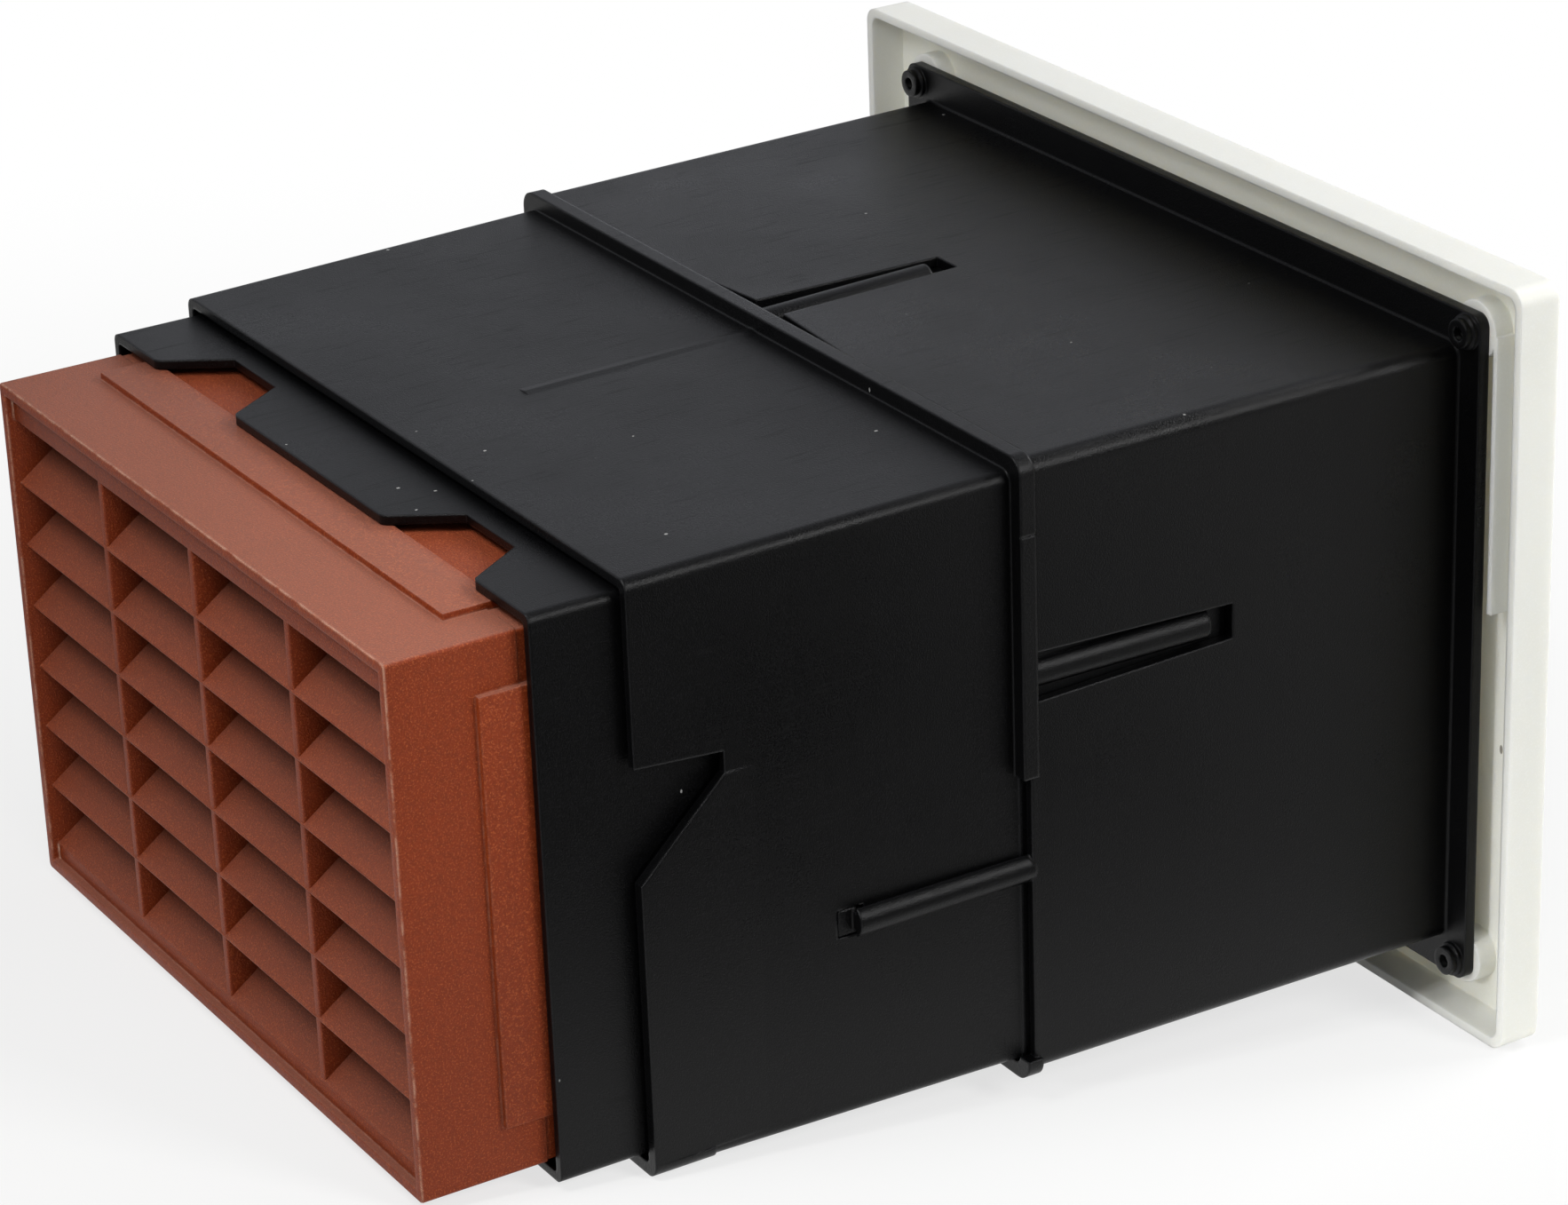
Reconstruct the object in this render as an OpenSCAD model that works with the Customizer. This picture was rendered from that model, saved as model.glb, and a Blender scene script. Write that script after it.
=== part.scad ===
// Louvred air brick with a telescopic through-wall sleeve and a room-side cover.
// The brick's face looks towards -Y, the duct runs along +Y into the room, and +Z is up.
// The origin is on the brick's underside, in the middle of the flat strip behind its face.

/* [Brick] */
// Width of the brick's face
brick_w = 215; // [190:1:240]
// Height of the brick's face
brick_h = 140; // [120:1:160]
// Depth of the brick from its face to its open back
brick_depth = 60; // [50:1:80]
// Thickness of the brick's outer wall
brick_wall = 3; // [2:0.5:5]
// Radius of the brick's four long edges
brick_edge_r = 1.2; // [0.5:0.1:3]
// How far the brick's tail is stepped in to enter the front sleeve
tail_step = 0.4; // [0.2:0.1:1]
// How far ahead of the front sleeve's edge the tail starts
tail_lead = 1; // [0.5:0.5:4]
// How far the louvres sit behind the edge of the outer wall
face_recess = 2; // [1:0.5:4]
// Distance from the face to the raised locating panels
panel_front = 22.6; // [15:0.2:28]
// Length of the raised locating panels along the duct
panel_len = 15; // [8:0.5:20]
// Height of the raised locating panels above the wall
panel_rise = 1.7; // [0.5:0.1:1.8]
// Distance from each corner to the end of a locating panel
panel_inset = 13.7; // [8:0.1:25]

/* [Louvres] */
// Number of louvre rows
louvre_rows = 7; // [4:1:9]
// Number of louvre columns
louvre_columns = 4; // [2:1:6]
// Height of the rail above the first row, outer wall included
top_rail = 10; // [7:0.5:16]
// Height of the rail below the last row, outer wall included
bottom_rail = 7.5; // [5:0.5:14]
// Width of the upright mullions
mullion_w = 2.6; // [1.5:0.1:5]
// Depth of the louvres from front to back
louvre_run = 20; // [12:0.5:22]
// Slope of the louvres above the level
louvre_slope = 36; // [20:1:45]
// Thickness of a louvre at its front lip
louvre_lip = 0.9; // [0.6:0.1:2]
// Thickness of a louvre at its back
louvre_back = 2.2; // [1.5:0.1:4]

/* [Front sleeve] */
// Gap between the brick's wall and the front sleeve's wall
front_gap = 2; // [1.6:0.1:4]
// Thickness of the front sleeve's wall
front_wall = 2.4; // [1.6:0.1:4]
// Distance from the brick's face to the front sleeve's front edge
front_y = 35; // [32:1:45]
// Length of the front sleeve
front_len = 95; // [80:1:120]
// Radius of the front sleeve's long edges
front_edge_r = 2.5; // [1.5:0.5:5]
// Depth of the two notches in the front edge
notch_depth = 17; // [6:1:20]
// Half distance between the notches, along the front edge
notch_inner = 40; // [25:1:50]
// Half distance between the notches' outer ends, along the front edge
notch_outer = 86; // [75:1:95]
// How far each end of a notch leans inwards
notch_lean = 11; // [4:0.5:14]
// Radius of the corners of the tabs between the notches
tab_r = 3; // [1:0.5:5]
// Width of the ribs that hold the brick
seat_rib_w = 4; // [2:0.5:8]

/* [Middle sleeve] */
// Running gap between the front and middle sleeves' walls, at the front
middle_gap = 1.2; // [1:0.1:3]
// Clearance of the guide pads that the front sleeve slides on
slide_clearance = 0.3; // [0.2:0.05:0.6]
// Distance from the brick's face to the middle sleeve's front edge
middle_y = 58.3; // [52:0.1:66]
// Thickness of the middle and rear sleeves' walls
sleeve_wall = 2.5; // [1.8:0.1:4]
// How far the middle sleeve widens on each side from its front edge to the band
middle_widen = 1.5; // [0.5:0.1:2.5]
// How far the middle sleeve rises on each side from its front edge to the band
middle_heighten = 1.8; // [0.5:0.1:2.5]
// Radius of the middle sleeve's long edges
middle_edge_r = 3; // [2:0.5:5]
// Length of the side notch along the duct
side_notch_len = 24; // [14:0.5:28]
// Height of the side notch's upper edge above the axis, at the front
side_notch_top = 30.5; // [24:0.5:36]
// How far the side notch's upper edge dips towards its inner end
side_notch_dip = 1.7; // [0:0.1:3]
// Height of the side notch's inner end
side_notch_end = 5.6; // [4:0.1:10]
// Drop of the side notch's sloping lower edge
side_notch_drop = 22.9; // [14:0.1:28]
// How far the lower half of the front edge flares outwards
flare = 0.9; // [0.6:0.1:1.8]
// Length over which the flare dies away on the sides
flare_len = 70; // [40:1:90]
// Length of the flared lip under the sleeve
lip_len = 17; // [8:0.5:24]
// Height of the soft ridge along the middle of the top
ridge_rise = 0.3; // [0.2:0.1:0.8]
// Width of the soft ridge along the middle of the top
ridge_w = 5; // [3:0.5:10]
// Length of the soft ridge, forwards from the band
ridge_len = 67; // [50:1:96]
// Distance of the pads on the top and underside from the middle
pad_top = 76; // [60:1:90]
// Distance of the pads on the sides from the axis
pad_side = 57; // [45:1:62]
// Width of the pads between the sleeves
pad_w = 14; // [8:1:20]

/* [Coupling] */
// Distance from the brick's face to the band at the middle sleeve's rear end
band_y = 163; // [150:1:180]
// Width of the band along the duct
band_len = 4.4; // [3:0.2:8]
// Height of the band above the rear sleeve
band_rise = 1.5; // [1:0.1:3]
// Radius of the band's corners
band_edge_r = 5; // [3:0.5:8]
// Height above the axis of the parting line across each end of the band
parting_z = 64; // [40:1:72]
// Width and depth of that parting line
parting_w = 0.4; // [0.3:0.1:0.8]
// Clearance between the spigot and the rear sleeve's socket
spigot_clearance = 0.3; // [0.15:0.05:0.5]
// Length of the spigot inside the rear sleeve
spigot_len = 64; // [60:1:75]
// Open line between the band and the rear sleeve's front edge
band_gap = 0.6; // [0.3:0.1:1.2]
// How far the lower half of the rear sleeve reaches forwards past the band's rear face
lower_reach = 1.4; // [0.8:0.1:2.4]
// Width of the thin rib in the open groove under the band
groove_rib_w = 0.9; // [0.6:0.1:1.2]
// Depth of the shallow relief in the rear sleeve's upper front edge
relief_depth = 4; // [2:0.5:6]
// Length of that relief on the left of the arm
relief_left = 36; // [25:1:45]
// Length of that relief on the right of the arm
relief_right = 54; // [40:1:60]

/* [Snap arms] */
// Width of a snap arm
arm_w = 7.6; // [5:0.2:10]
// Height of a snap arm's rounded section
arm_t = 2.4; // [1.8:0.1:3]
// Length of the rear sleeve's snap arms
arm_len = 50; // [36:1:60]
// Length of the middle sleeve's snap arms
band_arm_len = 52; // [36:1:60]
// Distance of the side arms from the axis
arm_side = 25.9; // [20:0.1:34]
// Distance of the top and bottom arms from the middle
arm_top = 5.3; // [0:0.1:20]
// Gap between an arm and the wall under it
arm_gap = 1; // [0.5:0.1:1.5]
// How far the middle sleeve's arms rise from root to tip
arm_rise = 1.2; // [0.4:0.1:1.6]
// Gap round a hook's tongue in its window
tongue_gap = 0.4; // [0.2:0.1:0.6]
// Width of an arm's slot at the rear sleeve's front edge
slot_front_w = 13.4; // [11:0.2:16]
// Width of an arm's slot at its closed end
slot_end_w = 9.4; // [8.4:0.2:10.8]
// Open length of a slot past the arm's tip
slot_past = 6.5; // [4:0.5:12]
// Length of the hook window in the middle sleeve
window_len = 7.5; // [6:0.5:12]
// Length of the hook under an arm's tip
hook_len = 3; // [2:0.5:5]

/* [Rear sleeve] */
// How far the rear sleeve widens on each side from the band to the flange
rear_widen = 1.8; // [0.5:0.1:3]
// How far the rear sleeve rises on each side from the band to the flange
rear_heighten = 0.7; // [0.2:0.1:2]
// Radius of the rear sleeve's long edges
rear_edge_r = 4; // [2:0.5:6]
// Distance from the brick's face to the flange's front
flange_y = 294.5; // [270:0.5:320]
// Thickness of the flange
flange_t = 3; // [2:0.5:5]
// How far the flange stands out past the rear sleeve's sides
flange_side = 8; // [7:0.5:14]
// How far the flange stands out past the rear sleeve's top and underside
flange_top = 9.3; // [8:0.1:14]
// Radius of the flange's corners
flange_corner_r = 3.5; // [2:0.5:10]
// Size of the fillet at the root of the flange
root_fillet = 0.4; // [0.3:0.1:3]
// Distance from the flange's edges to a boss's centre
boss_inset = 5; // [4.6:0.1:6.4]
// Outer diameter of a boss's foot
boss_foot_d = 9; // [8.2:0.2:9.2]
// Height of a boss's foot
boss_foot = 1.2; // [0.6:0.1:2]
// Outer diameter of a boss's ring
boss_d = 7.6; // [6:0.2:8]
// Height of a boss above the flange
boss_h = 3; // [2:0.5:5]
// Diameter of a boss's screw hole
boss_hole_d = 3.6; // [3:0.1:4.2]

/* [Room cover] */
// Distance from the flange's edge to the cover's sides
cover_side = 18.1; // [12:0.1:26]
// Distance from the flange's edge to the cover's top and underside
cover_top = 12.4; // [8:0.1:20]
// How far the cover's rim reaches past the flange's front, to the wall
cover_reach = 2; // [0.5:0.5:6]
// Depth of the cover from its wall edge to its room face
cover_depth = 13; // [12:0.5:24]
// Thickness of the cover's walls
cover_wall = 2.5; // [1.8:0.1:4]
// Radius of the cover's corners
cover_corner_r = 4.5; // [3:0.5:10]
// Bevel round the cover's room face
cover_bevel = 1.4; // [0.8:0.1:2]
// Diameter of a corner pillar
pillar_d = 15; // [12:0.5:17]
// Thickness of the cover's inner ribs
rib_t = 1.6; // [1:0.1:3]
// Height above the axis of the lower end of the cover's upright ribs
rib_foot = 12.7; // [0:0.1:30]
// Half width of the cover's louvred opening
grille_half_w = 106; // [90:1:112]
// Half height of the cover's louvred opening
grille_half_h = 63; // [50:1:68]
// Number of slots in the cover's louvred opening
grille_slots = 9; // [6:1:10]
// Thickness of the cover's louvre blades
grille_blade = 1.8; // [1.2:0.1:2.4]
// Slope of the cover's louvre blades below the level
grille_slope = 38; // [25:1:45]
// Depth of the cover's louvre blades
grille_run = 6; // [4:0.5:7]

/* [Cover screws] */
// Diameter of a screw's shank
screw_d = 3.2; // [2.6:0.1:3.4]
// Diameter of a screw's countersunk head
screw_head_d = 6.6; // [5.6:0.1:7.6]
// Height of a screw's countersunk head
screw_head_h = 1.8; // [1.4:0.1:2.2]
// Distance from a boss's mouth to the screw's tip inside it
screw_short = 2; // [1:0.5:3]
// Width of a screw's cross recess
drive_w = 0.9; // [0.6:0.1:1.2]
// Depth of a screw's cross recess
drive_depth = 0.9; // [0.6:0.1:1.1]

/* [Hidden] */
$fn = 48;
eps = 0.05;
past = 1;

terracotta = [0.66, 0.33, 0.22];
black_plastic = [0.09, 0.09, 0.10];
white_plastic = [0.93, 0.93, 0.90];
bright_steel = [0.72, 0.72, 0.72];

bed_setback = panel_front / 2;
brick_size = [brick_w, brick_h];
brick_inner = brick_size - 2 * [brick_wall, brick_wall];
tail_size = brick_size - 2 * [tail_step, tail_step];
tail_y = front_y - tail_lead;
louvre_pitch = (brick_h - top_rail - bottom_rail) / louvre_rows;
louvre_rise = louvre_run * tan(louvre_slope);
column_pitch = brick_inner.x / louvre_columns;

front_inner = brick_size + 2 * [front_gap, front_gap];
front_size = front_inner + 2 * [front_wall, front_wall];

middle_front_inner = front_size + 2 * [middle_gap, middle_gap];
middle_front = middle_front_inner + 2 * [sleeve_wall, sleeve_wall];
middle_rear = middle_front + 2 * [middle_widen, middle_heighten];
middle_rear_inner = middle_rear - 2 * [sleeve_wall, sleeve_wall];
middle_body_len = band_y - middle_y;

band_rear = band_y + band_len;
socket_inner = middle_rear + 2 * [spigot_clearance, spigot_clearance];
rear_front = socket_inner + 2 * [sleeve_wall, sleeve_wall];
rear_back = rear_front + 2 * [rear_widen, rear_heighten];
rear_back_inner = rear_back - 2 * [sleeve_wall, sleeve_wall];
band_size = rear_front + 2 * [band_rise, band_rise];
rear_y = band_rear + band_gap;
lower_y = band_rear - lower_reach;
side_notch_heel = side_notch_top - side_notch_dip - side_notch_end;
window_y = lower_y - arm_len - window_len + hook_len;
rear_len = flange_y - rear_y;
socket_end = band_y + spigot_len + past;

flange_size = rear_back + 2 * [flange_side, flange_top];
flange_rear = flange_y + flange_t;
boss_at = flange_size / 2 - [boss_inset, boss_inset];

cover_size = flange_size + 2 * [cover_side, cover_top];
cover_y = flange_y - cover_reach;
cover_face = cover_y + cover_depth;
cover_inner_face = cover_face - cover_wall;
rim_inner = cover_size - 2 * [cover_wall, cover_wall];
grille_pitch = 2 * grille_half_h / grille_slots;

// A rectangle with rounded corners, centred on the duct's axis.
module rounded_rect(size, r) {
    square([size.x - 2 * r, size.y], center = true);
    square([size.x, size.y - 2 * r], center = true);
    for (sx = [-1, 1], sy = [-1, 1])
        translate([sx * (size.x / 2 - r), sy * (size.y / 2 - r)])
            circle(r);
}

// A straight length of rounded-rectangle section along the duct.
module prism_y(y, len, size, r)
    translate([0, y, 0])
        rotate([-90, 0, 0])
            linear_extrude(len)
                rounded_rect(size, r);

// A drafted length of rounded-rectangle section along the duct, drawn between its two ends.
module taper_y(y, len, from, to, r)
    hull() {
        prism_y(y, eps, from, r, $fn = 32);
        prism_y(y + len - eps, eps, to, r, $fn = 32);
    }

// A flat outline drawn along the duct and upwards, extruded across the width.
module across(width)
    translate([-width / 2, 0, 0])
        rotate([90, 0, 90])
            linear_extrude(width)
                children();

// Turns a shape made on the top of the duct to another of its four sides.
module on_side(angle)
    rotate([0, angle, 0])
        children();

// Everything above, or below, a level across the duct.
module above(z, size = 400)
    translate([-size / 2, -size / 2, z])
        cube([size, 2 * size, size]);

module below(z, size = 400)
    translate([-size / 2, -size / 2, z - size])
        cube([size, 2 * size, size]);

// Moves a piece from the brick's face and the duct's axis to the part's own frame.
module in_frame()
    translate([0, -bed_setback, brick_h / 2])
        children();

// One louvre: a blade that slopes upwards from its front lip, tapered in thickness.
module louvre(z)
    across(brick_inner.x + brick_wall)
        polygon([
            [face_recess, z - louvre_lip],
            [face_recess, z],
            [face_recess + louvre_run, z + louvre_rise],
            [face_recess + louvre_run, z + louvre_rise - louvre_back]
        ]);

// The louvres, the rails above and below them and the upright mullions.
module louvre_field() {
    first = brick_h / 2 - top_rail;
    for (row = [1 : louvre_rows])
        louvre(first - row * louvre_pitch);
    translate([-brick_inner.x / 2 - eps, face_recess, first])
        cube([brick_inner.x + 2 * eps, brick_wall, top_rail - brick_wall + eps]);
    translate([-brick_inner.x / 2 - eps, face_recess, -brick_inner.y / 2 - eps])
        cube([brick_inner.x + 2 * eps, brick_wall, bottom_rail - brick_wall]);
    for (column = [1 : louvre_columns - 1])
        translate([column * column_pitch - (brick_inner.x + mullion_w) / 2,
                   face_recess, -brick_inner.y / 2 - eps])
            cube([mullion_w, louvre_run, brick_inner.y + 2 * eps]);
}

// The raised panels that locate the brick, one on each of its four sides.
module locating_panels() {
    for (angle = [0, 180])
        on_side(angle)
            translate([-brick_w / 2 + panel_inset, panel_front, brick_h / 2 - past])
                cube([brick_w - 2 * panel_inset, panel_len, past + panel_rise]);
    for (angle = [90, 270])
        on_side(angle)
            translate([-brick_h / 2 + panel_inset, panel_front, brick_w / 2 - past])
                cube([brick_h - 2 * panel_inset, panel_len, past + panel_rise]);
}

module air_brick()
    color(terracotta)
    in_frame() {
        difference() {
            union() {
                prism_y(0, tail_y, brick_size, brick_edge_r);
                prism_y(tail_y - eps, brick_depth - tail_y + eps, tail_size, brick_edge_r);
            }
            prism_y(-past, brick_depth + 2 * past, brick_inner, brick_edge_r / 2);
        }
        louvre_field();
        locating_panels();
    }

// The two slope-ended notches in the front sleeve's upper and lower front edges, with rounded tabs between.
module front_notches()
    translate([0, front_y, -front_size.y])
        linear_extrude(2 * front_size.y)
            offset(r = -tab_r, $fn = 32)
                offset(delta = tab_r) {
                    translate([-front_size.x, -notch_depth])
                        square([2 * front_size.x, notch_depth - eps]);
                    for (side = [-1, 1])
                        polygon([
                            [side * notch_outer, -past],
                            [side * notch_outer, 0],
                            [side * (notch_outer - notch_lean), notch_depth],
                            [side * (notch_inner + notch_lean), notch_depth],
                            [side * notch_inner, 0],
                            [side * notch_inner, -past]
                        ]);
                }

// Ribs inside the front sleeve that the brick's walls bear on.
module seat_ribs() {
    rib_y = panel_front + panel_len + past;
    rib_len = brick_depth - rib_y;
    rib_rise = tail_step + front_gap + eps;
    for (angle = [0, 180], side = [-1, 1])
        on_side(angle)
            translate([side * (brick_w / 2 - panel_inset) - seat_rib_w / 2, rib_y, tail_size.y / 2])
                cube([seat_rib_w, rib_len, rib_rise]);
    for (angle = [90, 270], side = [-1, 1])
        on_side(angle)
            translate([side * (brick_h / 2 - panel_inset) - seat_rib_w / 2, rib_y, tail_size.x / 2])
                cube([seat_rib_w, rib_len, rib_rise]);
}

module front_sleeve()
    color(black_plastic)
    in_frame() {
        difference() {
            prism_y(front_y, front_len, front_size, front_edge_r);
            prism_y(front_y - past, front_len + 2 * past, front_inner, front_edge_r / 2);
            front_notches();
        }
        seat_ribs();
    }

// A snap arm's rounded section, lying on the level y = 0.
module arm_section() {
    crown_r = (arm_w * arm_w / 4 + arm_t * arm_t) / (2 * arm_t);
    intersection() {
        translate([0, arm_t - crown_r])
            circle(crown_r);
        translate([-arm_w / 2, 0])
            square([arm_w, arm_t]);
    }
}

// A snap arm along the duct on the top side, from one place to another.
module snap_arm(x, y, len, z, rise = 0)
    translate([x, y, z])
        rotate([atan(rise / len), 0, 0])
            translate([0, len, 0])
                rotate([90, 0, 0])
                    linear_extrude(len)
                        arm_section();

// The sides that carry the middle sleeve's arms: [angle, distance along the side, half size].
function upper_sides(size) = [
    [0, -arm_top, size.y / 2],
    [90, -arm_side, size.x / 2],
    [-90, arm_side, size.x / 2]
];

// The sides that carry the rear sleeve's arms, the same pattern turned half round.
function lower_sides(size) = [
    [180, -arm_top, size.y / 2],
    [90, arm_side, size.x / 2],
    [-90, -arm_side, size.x / 2]
];

// The side notch, open at the front edge, with a nearly level top and a sloping lower edge.
module side_notch()
    across(2 * middle_front.x)
        polygon([
            [middle_y - past, side_notch_top],
            [middle_y, side_notch_top],
            [middle_y + side_notch_len, side_notch_top - side_notch_dip],
            [middle_y + side_notch_len, side_notch_heel],
            [middle_y, side_notch_heel - side_notch_drop],
            [middle_y - past, side_notch_heel - side_notch_drop]
        ]);

// The flare of the middle sleeve's lower half, which dies away along each side.
module side_flares() {
    foot = -middle_front.y / 2 + middle_edge_r;
    for (side = [-1, 1])
        translate([side * middle_front.x / 2, middle_y, foot])
            linear_extrude(side_notch_heel - foot)
                polygon([[-side * past, 0], [side * flare, 0], [-side * eps, flare_len]]);
}

// The flared lip round the underside of the middle sleeve's front end.
module lower_lip()
    intersection() {
        prism_y(middle_y, lip_len, middle_front + 2 * [flare, flare], middle_edge_r + flare);
        below(-middle_front.y / 2 + middle_edge_r);
    }

// The soft ridge along the middle of the top.
module top_ridge() {
    rise = (middle_rear.y - middle_front.y) / 2;
    translate([0, middle_y + middle_body_len, middle_rear.y / 2])
        rotate([90 + atan(rise / middle_body_len), 0, 0])
            linear_extrude(ridge_len)
                polygon([
                    [-ridge_w / 2, -past],
                    [-ridge_w / 2, 0],
                    [0, ridge_rise],
                    [ridge_w / 2, 0],
                    [ridge_w / 2, -past]
                ]);
}

// The band round the upper half of the middle sleeve's rear end.
module upper_band()
    difference() {
        intersection() {
            prism_y(band_y, band_len, band_size, band_edge_r);
            above(0);
        }
        for (side = [-1, 1])
            translate([side * band_size.x / 2 - parting_w, band_y - past, parting_z])
                cube([2 * parting_w, band_len + 2 * past, parting_w]);
    }

// The thin rib that stands in the open groove round the lower half of the coupling.
module lower_rib()
    intersection() {
        prism_y(band_y + groove_rib_w, groove_rib_w, [socket_inner.x, middle_rear.y], middle_edge_r);
        below(0);
    }

// Pads on the spigot that the rear sleeve's socket sits on.
module spigot_pads() {
    pad_y = rear_y + relief_depth;
    pad_len = band_y + spigot_len - past - pad_y;
    for (angle = [0, 180], side = [-1, 1])
        on_side(angle)
            translate([side * pad_top - pad_w / 2, pad_y, middle_rear.y / 2 - past])
                cube([pad_w, pad_len, past + spigot_clearance]);
    for (angle = [90, 270], side = [-1, 1])
        on_side(angle)
            translate([side * pad_side - pad_w / 2, pad_y, middle_rear.x / 2 - past])
                cube([pad_w, pad_len, past + spigot_clearance]);
}

// Pads inside the middle sleeve's front end that guide the front sleeve.
module guide_pads() {
    pad_rise = middle_gap - slide_clearance;
    for (angle = [0, 180], side = [-1, 1])
        on_side(angle)
            translate([side * pad_top - pad_w / 2, middle_y + past, front_size.y / 2 + slide_clearance])
                cube([pad_w, lip_len, pad_rise + past]);
    for (angle = [90, 270], side = [-1, 1])
        on_side(angle)
            translate([side * pad_side - pad_w / 2, middle_y + past, front_size.x / 2 + slide_clearance])
                cube([pad_w, lip_len, pad_rise + past]);
}

// The windows in the middle sleeve that the rear sleeve's arms hook into.
module hook_windows() {
    for (place = lower_sides(middle_rear))
        on_side(place[0])
            translate([place[1] - arm_w / 2, window_y, place[2] - 3 * sleeve_wall])
                cube([arm_w, window_len, 4 * sleeve_wall]);
}

module middle_sleeve()
    color(black_plastic)
    in_frame() {
        difference() {
            union() {
                taper_y(middle_y, middle_body_len, middle_front, middle_rear, middle_edge_r);
                prism_y(band_y - eps, spigot_len + eps, middle_rear, middle_edge_r);
                side_flares();
                lower_lip();
                top_ridge();
                upper_band();
                lower_rib();
            }
            taper_y(middle_y - eps, middle_body_len + 2 * eps,
                    middle_front_inner, middle_rear_inner, middle_edge_r / 2);
            prism_y(band_y - eps, spigot_len + past, middle_rear_inner, middle_edge_r / 2);
            side_notch();
            hook_windows();
        }
        spigot_pads();
        guide_pads();
        for (place = upper_sides(middle_rear))
            on_side(place[0])
                snap_arm(place[1], band_rear - eps, band_arm_len, place[2] + arm_gap / 4, arm_rise);
    }

// The tapered slots in the rear sleeve for the middle sleeve's arms.
module arm_slots() {
    slot_end = band_rear + band_arm_len + slot_past;
    for (place = upper_sides(rear_front))
        on_side(place[0])
            translate([place[1], 0, place[2] - 2 * sleeve_wall])
                linear_extrude(4 * sleeve_wall)
                    polygon([
                        [-slot_front_w / 2, lower_y - past],
                        [slot_front_w / 2, lower_y - past],
                        [slot_end_w / 2, slot_end],
                        [-slot_end_w / 2, slot_end]
                    ]);
}

// The shallow relief in the middle of the rear sleeve's upper front edge.
module edge_relief()
    translate([-arm_top, rear_y, 0])
        linear_extrude(rear_front.y)
            polygon([[-relief_left, -eps], [0, relief_depth], [relief_right, -eps], [0, -past]]);

// The lower half of the rear sleeve's front end, which reaches forwards past the band.
module lower_front()
    intersection() {
        prism_y(lower_y, rear_y - lower_y + eps, rear_front, rear_edge_r);
        below(-band_gap);
    }

// The bar under the coupling, which matches the band across the top.
module lower_bar()
    intersection() {
        prism_y(band_y, band_len, band_size, band_edge_r);
        below(-socket_inner.y / 2 + rear_edge_r / 2);
    }

// An arm of the rear sleeve with the hook under its tip and the tongue that fills the window.
module hooked_arm(x, z) {
    lifted = z + arm_gap / 2;
    tongue_w = arm_w - 2 * tongue_gap;
    translate([x - tongue_w / 2, window_y + tongue_gap, z - sleeve_wall])
        cube([tongue_w, window_len - hook_len - tongue_gap + past, sleeve_wall / 2]);
    snap_arm(x, lower_y - arm_len, arm_len + past, lifted);
    translate([x - arm_w / 3, lower_y - arm_len, z - sleeve_wall])
        cube([2 * arm_w / 3, hook_len - arm_gap / 2, lifted - z + sleeve_wall + arm_t / 2]);
}

// One stepped screw boss on the flange.
module boss()
    translate([0, flange_y - boss_h, 0])
        rotate([-90, 0, 0]) {
            cylinder(h = boss_h + eps, d = boss_d);
            translate([0, 0, boss_h - boss_foot])
                cylinder(h = boss_foot + eps, d = boss_foot_d);
        }

// A child at each of the four flange corners.
module at_bosses()
    for (sx = [-1, 1], sz = [-1, 1])
        translate([sx * boss_at.x, 0, sz * boss_at.y])
            children();

module rear_sleeve()
    color(black_plastic)
    in_frame() {
        difference() {
            union() {
                taper_y(rear_y, rear_len + eps, rear_front, rear_back, rear_edge_r);
                lower_front();
                lower_bar();
                prism_y(flange_y, flange_t, flange_size, flange_corner_r);
                taper_y(flange_y - root_fillet, root_fillet + eps, rear_back - [eps, eps],
                        rear_back + 2 * [root_fillet, root_fillet], rear_edge_r);
                at_bosses()
                    boss();
            }
            prism_y(band_y - past, socket_end - band_y + past, socket_inner, rear_edge_r / 2);
            taper_y(socket_end - eps, flange_y - socket_end + 2 * eps,
                    socket_inner, rear_back_inner, rear_edge_r / 2);
            prism_y(flange_y - eps, flange_t + past, rear_back_inner, rear_edge_r / 2);
            arm_slots();
            edge_relief();
            at_bosses()
                translate([0, flange_y - boss_h - past, 0])
                    rotate([-90, 0, 0])
                        cylinder(h = boss_h + flange_t + 2 * past, d = boss_hole_d);
        }
        for (place = lower_sides(socket_inner))
            on_side(place[0])
                hooked_arm(place[1], place[2]);
    }

// A round corner pillar that the flange is screwed to.
module pillar()
    rotate([-90, 0, 0])
        translate([0, 0, flange_rear])
            cylinder(h = cover_inner_face - flange_rear + eps, d = pillar_d);

// An upright rib that runs down from an upper pillar.
module upright_rib(sx)
    translate([sx * (boss_at.x + boss_inset + 1.5 * rib_t) - rib_t / 2, flange_rear, rib_foot])
        cube([rib_t, cover_inner_face - flange_rear + eps, boss_at.y - rib_foot]);

// The sloping blades and the upright of the cover's louvred opening.
module cover_grille() {
    drop = grille_run * tan(grille_slope);
    for (slot = [0 : grille_slots])
        across(2 * grille_half_w + 2 * past)
            translate([cover_face, slot * grille_pitch - grille_half_h - grille_blade / 2])
                polygon([[0, 0], [0, grille_blade], [-grille_run, grille_blade + drop], [-grille_run, drop]]);
    translate([-rib_t, cover_face - grille_run, -grille_half_h - past])
        cube([2 * rib_t, grille_run, 2 * grille_half_h + 2 * past]);
}

// The countersunk hole through a pillar and the cover's face.
module countersink()
    rotate([-90, 0, 0]) {
        translate([0, 0, flange_rear - past])
            cylinder(h = cover_depth, d = boss_hole_d);
        translate([0, 0, cover_face - screw_head_h])
            cylinder(h = screw_head_h, d1 = screw_d, d2 = screw_head_d);
        translate([0, 0, cover_face - eps])
            cylinder(h = past, d = screw_head_d);
    }

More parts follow.
